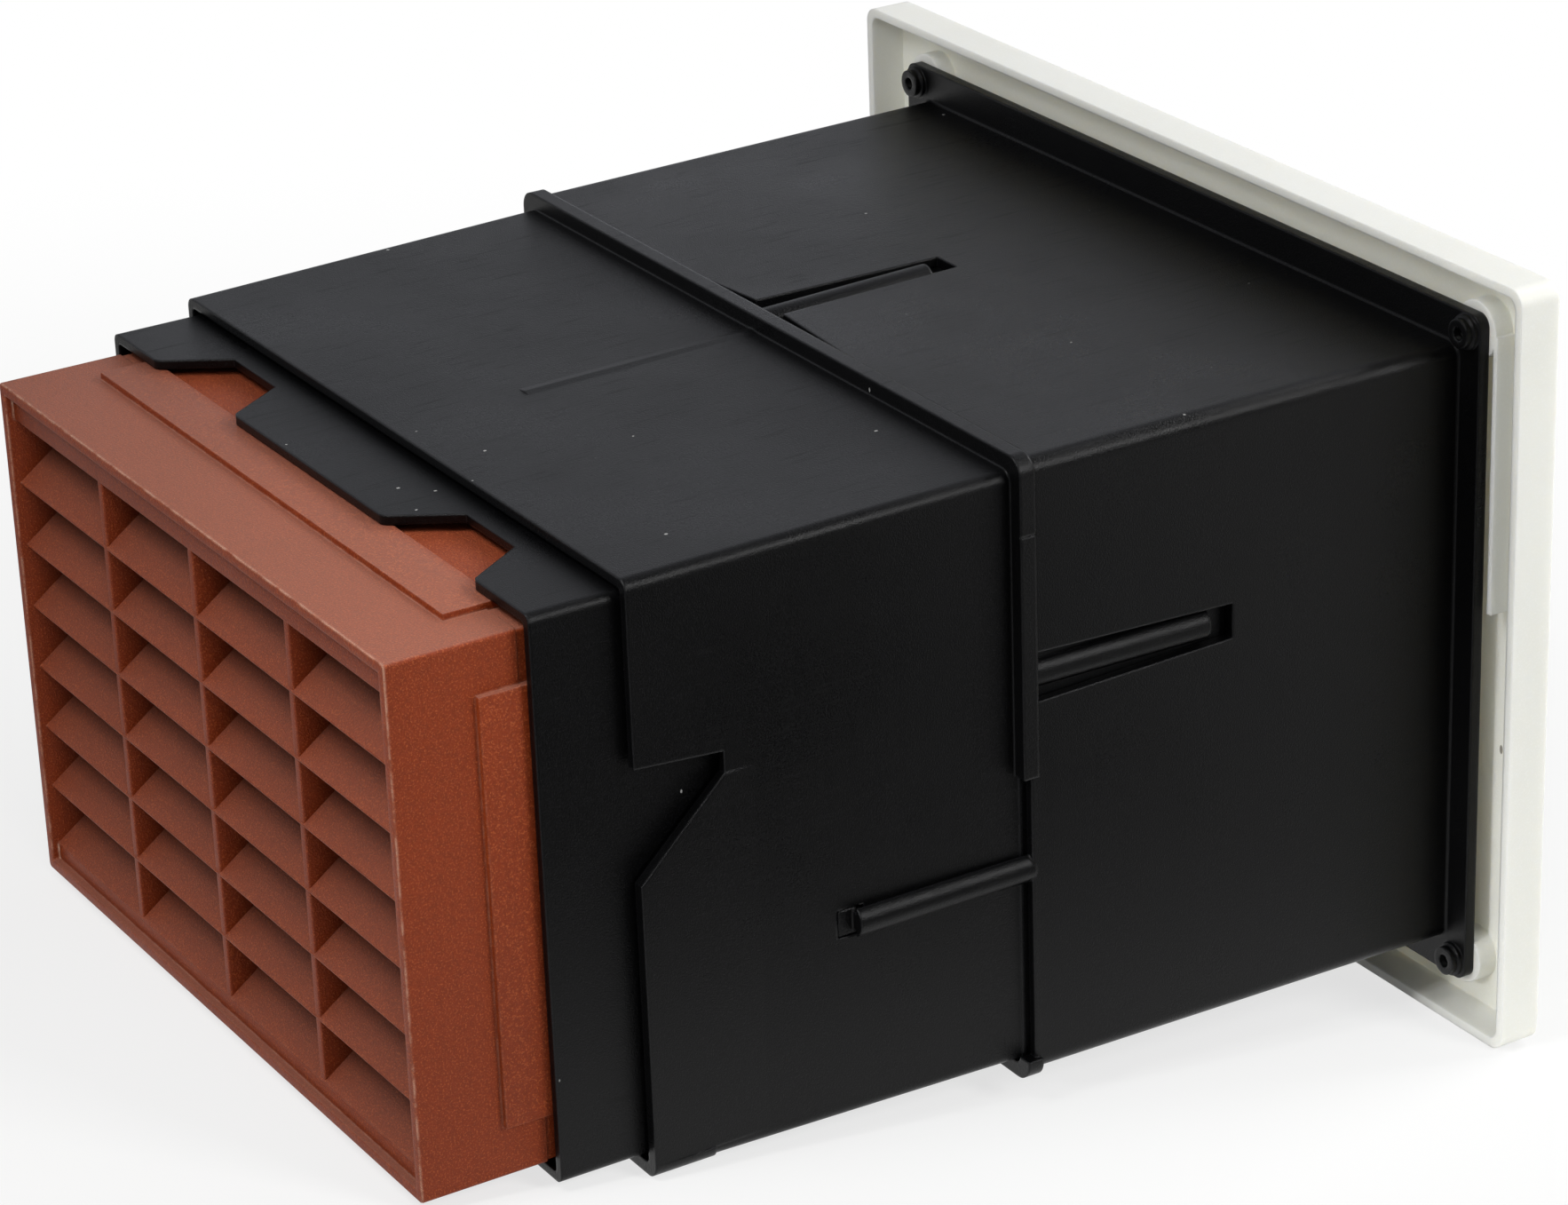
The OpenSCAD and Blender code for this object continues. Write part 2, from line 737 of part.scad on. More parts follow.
module room_cover()
    color(white_plastic)
    in_frame() {
        difference() {
            union() {
                difference() {
                    union() {
                        prism_y(cover_y, cover_depth - cover_bevel, cover_size, cover_corner_r, $fn = 32);
                        taper_y(cover_face - cover_bevel - eps, cover_bevel + eps, cover_size,
                                cover_size - 2 * [cover_bevel, cover_bevel], cover_corner_r);
                    }
                    prism_y(cover_y - past, cover_inner_face - cover_y + past,
                            rim_inner, cover_corner_r - cover_wall / 2);
                    translate([-grille_half_w, cover_inner_face - past, -grille_half_h])
                        cube([2 * grille_half_w, cover_wall + 2 * past, 2 * grille_half_h]);
                }
                at_bosses()
                    pillar();
                for (sx = [-1, 1])
                    upright_rib(sx);
            }
            at_bosses()
                countersink();
        }
        cover_grille();
    }

// One countersunk screw, head to the room, with a cross recess.
module screw() {
    tip = flange_y - boss_h + screw_short;
    neck = cover_face - screw_head_h;
    difference() {
        rotate([-90, 0, 0]) {
            translate([0, 0, tip])
                cylinder(h = neck - tip + eps, d = screw_d);
            translate([0, 0, neck])
                cylinder(h = screw_head_h, d1 = screw_d, d2 = screw_head_d);
        }
        for (angle = [0, 90])
            on_side(angle)
                translate([-screw_head_d / 3, cover_face - drive_depth, -drive_w / 2])
                    cube([2 * screw_head_d / 3, drive_depth + past, drive_w]);
    }
}

module cover_screws()
    color(bright_steel)
    in_frame()
        at_bosses()
            screw();

air_brick();
front_sleeve();
middle_sleeve();
rear_sleeve();
room_cover();
cover_screws();
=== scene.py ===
"""Dresses the louvred air brick, its telescopic wall sleeve and its room-side cover."""

import logging
import math
from dataclasses import dataclass, field
from enum import Enum
from typing import Any, ClassVar

import bmesh
import bpy
from mathutils import Euler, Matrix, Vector


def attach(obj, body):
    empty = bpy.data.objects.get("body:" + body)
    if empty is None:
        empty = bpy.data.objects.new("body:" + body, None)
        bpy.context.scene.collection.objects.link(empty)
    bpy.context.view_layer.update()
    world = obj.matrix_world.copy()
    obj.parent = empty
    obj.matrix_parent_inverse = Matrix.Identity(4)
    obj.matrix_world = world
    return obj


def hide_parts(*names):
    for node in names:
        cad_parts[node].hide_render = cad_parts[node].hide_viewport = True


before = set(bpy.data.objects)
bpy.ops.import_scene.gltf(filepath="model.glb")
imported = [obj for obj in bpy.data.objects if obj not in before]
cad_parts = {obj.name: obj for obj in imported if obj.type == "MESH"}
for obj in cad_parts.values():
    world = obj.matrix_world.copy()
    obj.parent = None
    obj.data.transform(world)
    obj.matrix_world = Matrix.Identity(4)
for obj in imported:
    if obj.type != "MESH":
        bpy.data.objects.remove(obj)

LOG = logging.getLogger("air_brick")
MM = 0.001
EDGE_SAMPLES = 6
CORNER_STEPS = 6
FILLET_STEPS = 3
BOX_EDGE_STEPS = 2
SHARP_ANGLE = math.radians(32)
Colour = tuple[float, float, float]
Spot = tuple[float, float, float]
Span = tuple[float, float]
Socket = bpy.types.NodeSocket
WHITE: Colour = (1.0, 1.0, 1.0)


class Body(Enum):
    """The two bodies that slide on each other."""

    HEAD = "brick_head"
    SLEEVE = "wall_sleeve"


class Slot(Enum):
    """Names of two of the record's material slots; no piece here is given them."""

    BRICK = "brick_plastic"
    STEEL = "screw_steel"


@dataclass(frozen=True)
class Cloud:
    """A cloudy pattern, with the size of its patches in metres."""

    size: float
    detail: float = 2.0
    roughness: float = 0.5


class Graph:
    """A node tree with short calls to add and join nodes."""

    def __init__(self, tree: bpy.types.NodeTree) -> None:
        """Keeps the node tree to write into."""
        self.tree = tree

    def add(self, kind: str, sockets: dict | None = None, **settings: Any) -> bpy.types.Node:
        """Adds a node, sets its options and fills or links its inputs.

        Args:
            kind: Blender's type name of the node.
            sockets: Values or output sockets, by input name or index.
            settings: Options of the node itself.

        Returns:
            The new node.
        """
        node = self.tree.nodes.new(kind)
        for option, value in settings.items():
            setattr(node, option, value)
        for key, value in (sockets or {}).items():
            if isinstance(value, Socket):
                self.tree.links.new(value, node.inputs[key])
            else:
                node.inputs[key].default_value = value
        return node

    def math(self, operation: str, first: Any, second: Any = 0.0) -> Socket:
        """Returns the output of a math node on two values."""
        return self.add("ShaderNodeMath", {0: first, 1: second}, operation=operation).outputs[0]

    def product(self, first: Any, second: Any) -> Socket:
        """Returns two values multiplied."""
        return self.math("MULTIPLY", first, second)

    def larger(self, first: Any, second: Any) -> Socket:
        """Returns the larger of two values."""
        return self.math("MAXIMUM", first, second)

    def rest(self, value: Any) -> Socket:
        """Returns what a value leaves of 1."""
        return self.math("SUBTRACT", 1.0, value)

    def ramp(
        self, value: Any, low: float, high: float, start: float = 0.0, end: float = 1.0,
    ) -> Socket:
        """Eases a value from one range into another, held at both ends.

        Args:
            value: The value to map.
            low: Where the ramp starts.
            high: Where the ramp ends.
            start: Result at and before the start.
            end: Result at and after the end.

        Returns:
            The mapped value's socket.
        """
        sockets = {
            "Value": value, "From Min": low, "From Max": high, "To Min": start, "To Max": end,
        }
        return self.add("ShaderNodeMapRange", sockets, interpolation_type="SMOOTHSTEP").outputs[0]

    def mix(self, share: Any, first: Any, second: Any) -> Socket:
        """Returns the blend of two colours."""
        values = {0: share, 6: opaque(first), 7: opaque(second)}
        return self.add("ShaderNodeMix", values, data_type="RGBA").outputs[2]

    def place(self, stretch: Spot | None = None) -> Socket:
        """Reads the piece's own coordinates in metres.

        Args:
            stretch: Scale along each axis, if any.

        Returns:
            The coordinates' socket.
        """
        where = self.add("ShaderNodeTexCoord").outputs["Object"]
        if stretch is None:
            return where
        return self.add("ShaderNodeMapping", {"Vector": where, "Scale": stretch}).outputs[0]

    def axis(self, vector: Any, name: str) -> Socket:
        """Returns one coordinate of a vector."""
        return self.add("ShaderNodeSeparateXYZ", {0: vector}).outputs[name]

    def dot(self, first: Any, second: Any) -> Socket:
        """Returns how far one vector reaches along another."""
        values = {0: first, 1: second}
        return self.add("ShaderNodeVectorMath", values, operation="DOT_PRODUCT").outputs["Value"]

    def normal(self) -> Socket:
        """Returns the surface's own normal."""
        return self.add("ShaderNodeNewGeometry").outputs["Normal"]

    def rounded(self, radius: float) -> Socket:
        """Returns the normal with the edges rounded to a radius."""
        return self.add("ShaderNodeBevel", {"Radius": radius}, samples=EDGE_SAMPLES).outputs[0]

    def noise(self, where: Any, cloud: Cloud) -> Socket:
        """Returns a cloudy value on some coordinates.

        Args:
            where: The coordinates.
            cloud: The pattern.

        Returns:
            The value's socket.
        """
        sockets = {
            "Vector": where, "Scale": 1.0 / cloud.size,
            "Detail": cloud.detail, "Roughness": cloud.roughness,
        }
        return self.add("ShaderNodeTexNoise", sockets).outputs["Fac"]

    def edges(self, radius: float, strong: float) -> Socket:
        """Finds edges and corners, where the rounded normal turns from the face's own.

        Args:
            radius: How far the mask reaches from an edge.
            strong: How far a normal has to turn for the full mask.

        Returns:
            A mask that is 1 on edges and corners and 0 on flat faces.
        """
        facing = self.dot(self.rounded(radius), self.normal())
        return self.ramp(self.rest(facing), 0.0, strong)


def opaque(colour: Any) -> Any:
    """Returns a colour with its alpha, or a socket as it is."""
    return (*colour, 1.0) if isinstance(colour, tuple) and len(colour) == 3 else colour


def darker(colour: Colour, share: float) -> Colour:
    """Returns a share of a colour."""
    return tuple(share * part for part in colour)


@dataclass(frozen=True)
class MouldedPlastic:
    """A moulded plastic with a slow drift of tone, a fine grain, paler edges for wear and painted
    highlight, dust, a painted sheen with dust on level tops and painted shade deep in a grille's
    cells.
    """

    DRIFT_SPAN: ClassVar[Span] = (0.3, 0.7)
    BLOTCH: ClassVar[Cloud] = Cloud(1.5 * MM, 3.0, 0.7)
    BLOTCH_SPAN: ClassVar[Span] = (0.45, 0.6)
    BLOTCH_TONE: ClassVar[float] = 0.6
    SPECKLE_SPAN: ClassVar[Span] = (0.52, 0.66)
    EDGE_TURN: ClassVar[float] = 0.12
    RUB: ClassVar[Cloud] = Cloud(5 * MM, 4.0, 0.65)
    RUB_SPAN: ClassVar[Span] = (0.38, 0.6)
    LEAST_RUB: ClassVar[float] = 0.15
    RIM_SPAN: ClassVar[Span] = (0.955, 0.98)
    RIM_DEPTH: ClassVar[Span] = (-8 * MM, -5 * MM)
    INNER_WEAR: ClassVar[float] = 0.1
    CELL_SPAN: ClassVar[Span] = (0.974, 0.985)
    CELL_DEPTH: ClassVar[Span] = (-11 * MM, 7 * MM)
    CELL_SHADE: ClassVar[float] = 0.85
    SILL_SPAN: ClassVar[Span] = (0.3, 0.8)
    SILL_SHADE: ClassVar[float] = 0.4
    SHEEN_AND_DUST_SPAN: ClassVar[Span] = (0.6, 0.98)
    SHEEN_AND_DUST_FADE: ClassVar[float] = 3 * MM
    SHEEN_AND_DUST_LEFT: ClassVar[float] = 0.3
    GLOSS_SPAN: ClassVar[Span] = (0.25, 0.75)
    GLOSS_DRIFT: ClassVar[float] = 0.05
    GLOSS_GRAIN: ClassVar[float] = 0.03
    SCUFF: ClassVar[Cloud] = Cloud(1.1 * MM, 3.0, 0.6)
    SCUFF_STRETCH: ClassVar[Spot] = (1.0, 0.06, 1.0)
    SCUFF_SPAN: ClassVar[Span] = (0.56, 0.72)
    FLECK_STRETCH: ClassVar[Spot] = (1.0, 0.8, 0.5)
    FLECK_SPAN: ClassVar[Span] = (0.045, 0.06)
    FLECK_FULL: ClassVar[float] = 0.8
    GLOW_RADIUS: ClassVar[Colour] = (1.0, 0.95, 0.85)
    GLOW_DEPTH: ClassVar[float] = 4 * MM

    name: str
    tone: Colour
    drift: Colour
    grain: Colour
    # Paler edge tone and its share: wear, and on the black sleeves also a painted highlight.
    wear_and_highlight_tone: Colour
    roughness: float
    specular: float
    drift_size: float = 60 * MM
    grain_size: float = 0.55 * MM
    grain_share: float = 0.5
    grain_depth: float = 0.05 * MM
    edge_radius: float = 0.6 * MM
    wear_radius: float = 0.9 * MM
    wear_and_highlight: float = 0.5
    dust: Colour = (0.3, 0.3, 0.29)
    dust_share: float = 0.0
    dust_cell: float = 7 * MM
    scuff: float = 0.0
    polish: float = 0.0
    glow: float = 0.0
    # Share, end along the duct and tone of a painted sheen with dust on level tops.
    sheen_and_dust: float = 0.0
    sheen_and_dust_end: float = 0.0
    sheen_and_dust_tone: Colour = (0.5, 0.47, 0.4)
    mottle: float = 0.0
    # Half width, half height and middle height of a grille's rim.
    rim: Spot | None = None
    # Colour of the painted shade deep in a grille's cells.
    shade: Colour = (0.05, 0.0075, 0.0012)

    def make(self) -> bpy.types.Material:
        """Builds the material.

        Returns:
            The finished material.
        """
        material = bpy.data.materials.new(self.name)
        material.use_nodes = True
        graph = Graph(material.node_tree)
        where = graph.place()
        slow = graph.noise(where, Cloud(self.drift_size, detail=3.0, roughness=0.55))
        fine = graph.noise(where, Cloud(self.grain_size, detail=2.0, roughness=0.7))
        edges = graph.edges(self.wear_radius, self.EDGE_TURN)
        level = self.gloss(graph, slow, fine)
        if self.polish:
            level = graph.math("SUBTRACT", level, graph.product(edges, self.polish))
        bump = {
            "Height": fine, "Distance": self.grain_depth, "Strength": 1.0,
            "Normal": graph.rounded(self.edge_radius),
        }
        inputs = material.node_tree.nodes["Principled BSDF"].inputs
        link = material.node_tree.links.new
        link(self.colour(graph, where, slow, fine, edges), inputs["Base Color"])
        link(level, inputs["Roughness"])
        link(graph.add("ShaderNodeBump", bump).outputs[0], inputs["Normal"])
        inputs["Specular IOR Level"].default_value = self.specular
        if self.glow:
            inputs["Subsurface Weight"].default_value = self.glow
            inputs["Subsurface Radius"].default_value = self.GLOW_RADIUS
            inputs["Subsurface Scale"].default_value = self.GLOW_DEPTH
        return material

    def colour(self, graph: Graph, where: Any, slow: Any, fine: Any, edges: Any) -> Socket:
        """Lays the tones over each other, from the drift up to the dust.

        Args:
            graph: The material's graph.
            where: The object's coordinates.
            slow: The slow drift's value.
            fine: The grain's value.
            edges: The mask of the edges.

        Returns:
            The colour's socket.
        """
        colour = graph.mix(graph.ramp(slow, *self.DRIFT_SPAN), self.tone, self.drift)
        if self.mottle:
            blotch = graph.noise(where, self.BLOTCH)
            blotch = graph.ramp(blotch, *self.BLOTCH_SPAN, 0.0, self.mottle)
            colour = graph.mix(blotch, colour, darker(self.tone, self.BLOTCH_TONE))
        speckle = graph.ramp(fine, *self.SPECKLE_SPAN, 0.0, self.grain_share)
        colour = graph.mix(speckle, colour, self.grain)
        rubbed = graph.noise(where, self.RUB)
        rubbed = graph.ramp(rubbed, *self.RUB_SPAN, self.LEAST_RUB, self.wear_and_highlight)
        if self.rim:
            # Painted shade deep in the grille's cells, towards their back.
            colour = graph.mix(self.painted_cell_shade_mask(graph, where), colour, self.shade)
            rubbed = graph.product(rubbed, self.rim_mask(graph, where))
        # Paler edges: wear, and on the black sleeves also a painted highlight.
        colour = graph.mix(graph.product(edges, rubbed), colour, self.wear_and_highlight_tone)
        # Painted sheen with a film of dust on level tops.
        if self.sheen_and_dust:
            colour = graph.mix(self.sheen_and_dust_mask(graph, where), colour, self.sheen_and_dust_tone)
        if self.dust_share:
            colour = graph.mix(self.dust_mask(graph), colour, self.dust)
        return colour

    def rim_mask(self, graph: Graph, where: Any) -> Socket:
        """Finds the outer rim, where knocks and rubbing show most.

        Args:
            graph: The material's graph.
            where: The object's coordinates.

        Returns:
            A weight that is full at the rim and low inside it.
        """
        outer = graph.ramp(self.outwards(graph, where), *self.RIM_SPAN)
        front = graph.ramp(graph.axis(where, "Y"), *self.RIM_DEPTH, 1.0, 0.0)
        return graph.larger(graph.product(outer, front), self.INNER_WEAR)

    def painted_cell_shade_mask(self, graph: Graph, where: Any) -> Socket:
        """Paints shade into the cells of the grille, deeper towards their back and less on the
        sills.

        Args:
            graph: The material's graph.
            where: The object's coordinates.

        Returns:
            The painted shade's share.
        """
        inside = graph.ramp(self.outwards(graph, where), *self.CELL_SPAN, 1.0, 0.0)
        depth = graph.ramp(graph.axis(where, "Y"), *self.CELL_DEPTH, 0.0, self.CELL_SHADE)
        up = graph.axis(graph.normal(), "Z")
        sill = graph.ramp(up, *self.SILL_SPAN, 1.0, self.SILL_SHADE)
        return graph.product(graph.product(inside, depth), sill)

    def outwards(self, graph: Graph, where: Any) -> Socket:
        """Measures how far out from the axis a point lies.

        Args:
            graph: The material's graph.
            where: The object's coordinates.

        Returns:
            0 on the axis and 1 at the rim.
        """
        half_w, half_h, middle = self.rim
        height = graph.math("SUBTRACT", graph.axis(where, "Z"), middle)
        across = graph.math("DIVIDE", graph.math("ABSOLUTE", graph.axis(where, "X")), half_w)
        upright = graph.math("DIVIDE", graph.math("ABSOLUTE", height), half_h)
        return graph.larger(across, upright)

    def sheen_and_dust_mask(self, graph: Graph, where: Any) -> Socket:
        """Paints a pale sheen with a thin film of dust on level tops, up to a line across the duct.

        Args:
            graph: The material's graph.
            where: The object's coordinates.

        Returns:
            The share of the painted sheen and dust.
        """
        start, end = self.sheen_and_dust_end - self.SHEEN_AND_DUST_FADE, self.sheen_and_dust_end + self.SHEEN_AND_DUST_FADE
        reach = graph.ramp(graph.axis(where, "Y"), start, end, 1.0, self.SHEEN_AND_DUST_LEFT)
        level = graph.ramp(graph.axis(graph.normal(), "Z"), *self.SHEEN_AND_DUST_SPAN, 0.0, self.sheen_and_dust)
        return graph.product(level, reach)

    def gloss(self, graph: Graph, slow: Any, fine: Any) -> Socket:
        """Varies the roughness with the drift, the grain and faint scuffs along the duct.

        Args:
            graph: The material's graph.
            slow: The slow drift's value.
            fine: The grain's value.

        Returns:
            The roughness socket.
        """
        low, high = self.roughness - self.GLOSS_DRIFT, self.roughness + self.GLOSS_DRIFT
        level = graph.ramp(slow, *self.GLOSS_SPAN, low, high)
        grain = graph.ramp(fine, *self.DRIFT_SPAN, -self.GLOSS_GRAIN, self.GLOSS_GRAIN)
        level = graph.math("ADD", level, grain)
        if not self.scuff:
            return level
        rubbed = graph.noise(graph.place(self.SCUFF_STRETCH), self.SCUFF)
        return graph.math("ADD", level, graph.ramp(rubbed, *self.SCUFF_SPAN, 0.0, self.scuff))

    def dust_mask(self, graph: Graph) -> Socket:
        """Picks a few cells of a scatter and puts one small fleck in each.

        Args:
            graph: The material's graph.

        Returns:
            The mask's socket.
        """
        cells = {"Vector": graph.place(self.FLECK_STRETCH), "Scale": 1.0 / self.dust_cell}
        scatter = graph.add("ShaderNodeTexVoronoi", cells).outputs
        near = graph.ramp(scatter["Distance"], *self.FLECK_SPAN, 1.0, 0.0)
        lot = graph.add("ShaderNodeSeparateColor", {0: scatter["Color"]}).outputs[0]
        start, full = 1.0 - self.dust_share, 1.0 - self.FLECK_FULL * self.dust_share
        return graph.product(near, graph.ramp(lot, start, full))


@dataclass(frozen=True)
class BrightZinc:
    """A plated steel with a cloudy polish."""

    CLOUD_SPAN: ClassVar[Span] = (0.35, 0.7)
    GLOSS_SPAN: ClassVar[Span] = (0.3, 0.7)

    name: str
    tone: Colour = (0.62, 0.62, 0.6)
    dull: float = 0.72
    roughness: float = 0.3
    smoother: float = 0.08
    rougher: float = 0.12
    cloud: Cloud = Cloud(1.5 * MM, 3.0)
    edge_radius: float = 0.12 * MM

    def make(self) -> bpy.types.Material:
        """Builds the material.

        Returns:
            The finished material.
        """
        material = bpy.data.materials.new(self.name)
        material.use_nodes = True
        graph = Graph(material.node_tree)
        cloud = graph.noise(graph.place(), self.cloud)
        share = graph.ramp(cloud, *self.CLOUD_SPAN)
        low, high = self.roughness - self.smoother, self.roughness + self.rougher
        inputs = material.node_tree.nodes["Principled BSDF"].inputs
        link = material.node_tree.links.new
        link(graph.mix(share, self.tone, darker(self.tone, self.dull)), inputs["Base Color"])
        link(graph.ramp(cloud, *self.GLOSS_SPAN, low, high), inputs["Roughness"])
        link(graph.rounded(self.edge_radius), inputs["Normal"])
        inputs["Metallic"].default_value = 1.0
        return material


# Its level tops get a painted sheen with dust, and its grille cells painted shade.
TERRACOTTA = MouldedPlastic(
    name="terracotta_plastic",
    tone=(0.235, 0.032, 0.004), drift=(0.21, 0.0285, 0.0036),
    grain=(0.45, 0.105, 0.027), wear_and_highlight_tone=(0.68, 0.42, 0.3),
    roughness=0.5, specular=0.25, sheen_and_dust=0.12, sheen_and_dust_end=26 * MM, mottle=0.32,
    rim=(107.5 * MM, 70 * MM, 70 * MM), grain_size=0.5 * MM, grain_share=0.6,
    grain_depth=0.25 * MM, edge_radius=0.5 * MM, wear_radius=1.1 * MM, wear_and_highlight=1.0,
    dust=(0.5, 0.3, 0.2), dust_share=0.05, dust_cell=9 * MM,
)
# The pale bluish edge tone is partly wear and partly a painted edge highlight.
BLACK_SATIN = MouldedPlastic(
    name="black_sleeve_plastic",
    tone=(0.0011, 0.0011, 0.0013), drift=(0.0015, 0.0015, 0.0017),
    grain=(0.009, 0.009, 0.0098), wear_and_highlight_tone=(0.035, 0.036, 0.04),
    roughness=0.32, specular=0.2, grain_size=0.4 * MM, grain_depth=0.1 * MM,
    edge_radius=1.0 * MM, wear_radius=0.8 * MM, wear_and_highlight=0.25, dust_share=0.2,
    scuff=0.1, polish=0.12,
)
COVER_WHITE = MouldedPlastic(
    name="white_cover_plastic",
    tone=(0.84, 0.84, 0.785), drift=(0.81, 0.81, 0.755),
    grain=(0.87, 0.87, 0.83), wear_and_highlight_tone=(0.87, 0.87, 0.85),
    roughness=0.4, specular=0.4, grain_depth=0.02 * MM, edge_radius=0.7 * MM, wear_and_highlight=0.3,
    dust=(0.3, 0.28, 0.24), dust_share=0.015, dust_cell=12 * MM, glow=0.7,
)
SCREW_ZINC = BrightZinc(name="bright_zinc")


class Pattern:
    """A geometry node tree with named inputs, run once and kept as a plain mesh."""

    def __init__(self, name: str) -> None:
        """Starts an empty tree.

        Args:
            name: Name of the tree.
        """
        self.tree = bpy.data.node_groups.new(name, "GeometryNodeTree")
        outlet = {"in_out": "OUTPUT", "socket_type": "NodeSocketGeometry"}
        self.tree.interface.new_socket("Geometry", **outlet)
        self.graph = Graph(self.tree)
        self.inlet = self.tree.nodes.new("NodeGroupInput")
        self.values: dict[str, Any] = {}

    def size(self, name: str, value: float) -> Socket:
        """Adds a named length to the tree's inputs and returns its socket."""
        return self._input(name, value, "NodeSocketFloat")

    def count(self, name: str, value: int) -> Socket:
        """Adds a named count to the tree's inputs and returns its socket."""
        return self._input(name, value, "NodeSocketInt")

    def spot(self, name: str, value: Spot) -> Socket:
        """Adds a named vector to the tree's inputs and returns its socket."""
        return self._input(name, value, "NodeSocketVector")

    def _input(self, name: str, value: Any, kind: str) -> Socket:
        """Adds an input of one kind and remembers its value.

        Args:
            name: The input's name.
            value: What the modifier is set to.
            kind: Blender's socket type.

        Returns:
            The socket inside the tree.
        """
        self.tree.interface.new_socket(name, in_out="INPUT", socket_type=kind)
        self.values[name] = value
        return self.inlet.outputs[name]

    def shape(self, kind: str, sockets: dict, **settings: Any) -> Socket:
        """Returns the shape that a geometry node makes."""
        return self.graph.add(f"GeometryNode{kind}", sockets, **settings).outputs[0]

    def fillet(self, outline: Socket, radius: Socket) -> Socket:
        """Rounds the corners of an outline.

        Args:
            outline: The closed curve.
            radius: Radius of its corners.

        Returns:
            The rounded curve.
        """
        soft = {"Curve": outline, "Count": FILLET_STEPS, "Radius": radius, "Limit Radius": True}
        return self.shape("FilletCurve", soft, mode="POLY")

    def sweep(self, path: Socket, outline: Socket) -> Socket:
        """Returns an outline swept along a path, with closed ends."""
        sweep = {"Curve": path, "Profile Curve": outline, "Fill Caps": True}
        return self.shape("CurveToMesh", sweep)

    def repeat(self, shape: Socket, row: dict[str, Socket]) -> Socket:
        """Returns copies of a shape on a straight row of points."""
        points = self.shape("MeshLine", row)
        return self.shape("InstanceOnPoints", {"Points": points, "Instance": shape})

    def move(self, shape: Socket, by: Socket) -> Socket:
        """Returns a shape moved by a vector."""
        return self.shape("Transform", {"Geometry": shape, "Translation": by})

    def run(self, piece: str, geometry: Socket, material: bpy.types.Material) -> bpy.types.Object:
        """Closes the tree, runs it and keeps its result.

        Args:
            piece: Name of the new object.
            geometry: The socket that holds the finished shape.
            material: The finish of the whole piece.

        Returns:
            An object with a plain mesh and no modifier.
        """
        solid = self.shape("RealizeInstances", {"Geometry": geometry})
        dressed = self.shape("SetMaterial", {"Geometry": solid, "Material": material})
        self.graph.add("NodeGroupOutput", {"Geometry": dressed})
        obj = link_mesh(piece, bpy.data.meshes.new(piece))
        modifier = obj.modifiers.new("pattern", "NODES")
        modifier.node_group = self.tree
        for item in self.tree.interface.items_tree:
            if item.in_out == "INPUT":
                modifier[item.identifier] = self.values[item.name]
        bpy.context.view_layer.update()
        graph = bpy.context.evaluated_depsgraph_get()
        mesh = bpy.data.meshes.new_from_object(obj.evaluated_get(graph))
        obj.modifiers.remove(modifier)
        obj.data = mesh
        return obj


def link_mesh(name: str, mesh: bpy.types.Mesh) -> bpy.types.Object:
    """Puts a mesh into the scene as an object at the origin.

    Args:
        name: Name of the object.
        mesh: Its mesh.

    Returns:
        The new object.
    """
    obj = bpy.data.objects.new(name, mesh)
    bpy.context.scene.collection.objects.link(obj)
    return obj


def round_loop(
    half_w: float, half_h: float, radius: float, y: float, middle: float,
) -> list[Vector]:
    """Draws a rounded rectangle across the duct.

    Args:
        half_w: Half width along X.
        half_h: Half height along Z.
        radius: Radius of the corners.
        y: Place along the duct.
        middle: Height of the rectangle's middle.

    Returns:
        The loop's points, turning from +X to +Z.
    """
    points = []
    for turn, (sx, sz) in enumerate(((1, 1), (-1, 1), (-1, -1), (1, -1))):
        for step in range(CORNER_STEPS + 1):
            angle = math.radians(90 * (turn + step / CORNER_STEPS))
            x = sx * (half_w - radius) + radius * math.cos(angle)
            z = sz * (half_h - radius) + radius * math.sin(angle)
            points.append(Vector((x, y, middle + z)))
    return points


def ring_mesh(bm: bmesh.types.BMesh, loops: list[list[Vector]]) -> None:
    """Joins equal loops into a closed ring, the last one to the first.

    Args:
        bm: The mesh to add to.
        loops: Loops with the same number of points.
    """
    rows = [[bm.verts.new(point) for point in loop] for loop in loops]
    for row, after in zip(rows, rows[1:] + rows[:1]):
        for index in range(len(row)):
            follow = (index + 1) % len(row)
            bm.faces.new((row[index], row[follow], after[follow], after[index]))


def soft_box(bm: bmesh.types.BMesh, low: Spot, high: Spot, radius: float) -> None:
    """Adds a box with rounded edges.

    Args:
        bm: The mesh to add to.
        low: Its lowest corner.
        high: Its highest corner.
        radius: Radius of its edges.
    """
    made = bmesh.ops.create_cube(bm, size=1.0)["verts"]
    foot, span = Vector(low), Vector(high) - Vector(low)
    for vert in made:
        vert.co = Vector((foot[axis] + (vert.co[axis] + 0.5) * span[axis] for axis in range(3)))
    rims = {edge for vert in made for edge in vert.link_edges}
    bevel = {"offset": radius, "segments": BOX_EDGE_STEPS, "profile": 0.5, "affect": "EDGES"}
    bmesh.ops.bevel(bm, geom=list(rims), **bevel)


def close_mesh(
    name: str, bm: bmesh.types.BMesh, material: bpy.types.Material,
) -> bpy.types.Object:
    """Turns a mesh in the making into a dressed object with its faces outwards.

    Args:
        name: Name of the object.
        bm: The mesh; it is freed.
        material: The finish of the whole piece.

    Returns:
        The new object.
    """
    bmesh.ops.recalc_face_normals(bm, faces=bm.faces)
    for face in bm.faces:
        face.smooth = True
    mesh = bpy.data.meshes.new(name)
    bm.to_mesh(mesh)
    bm.free()
    mesh.materials.append(material)
    mesh.set_sharp_from_angle(angle=SHARP_ANGLE)
    return link_mesh(name, mesh)


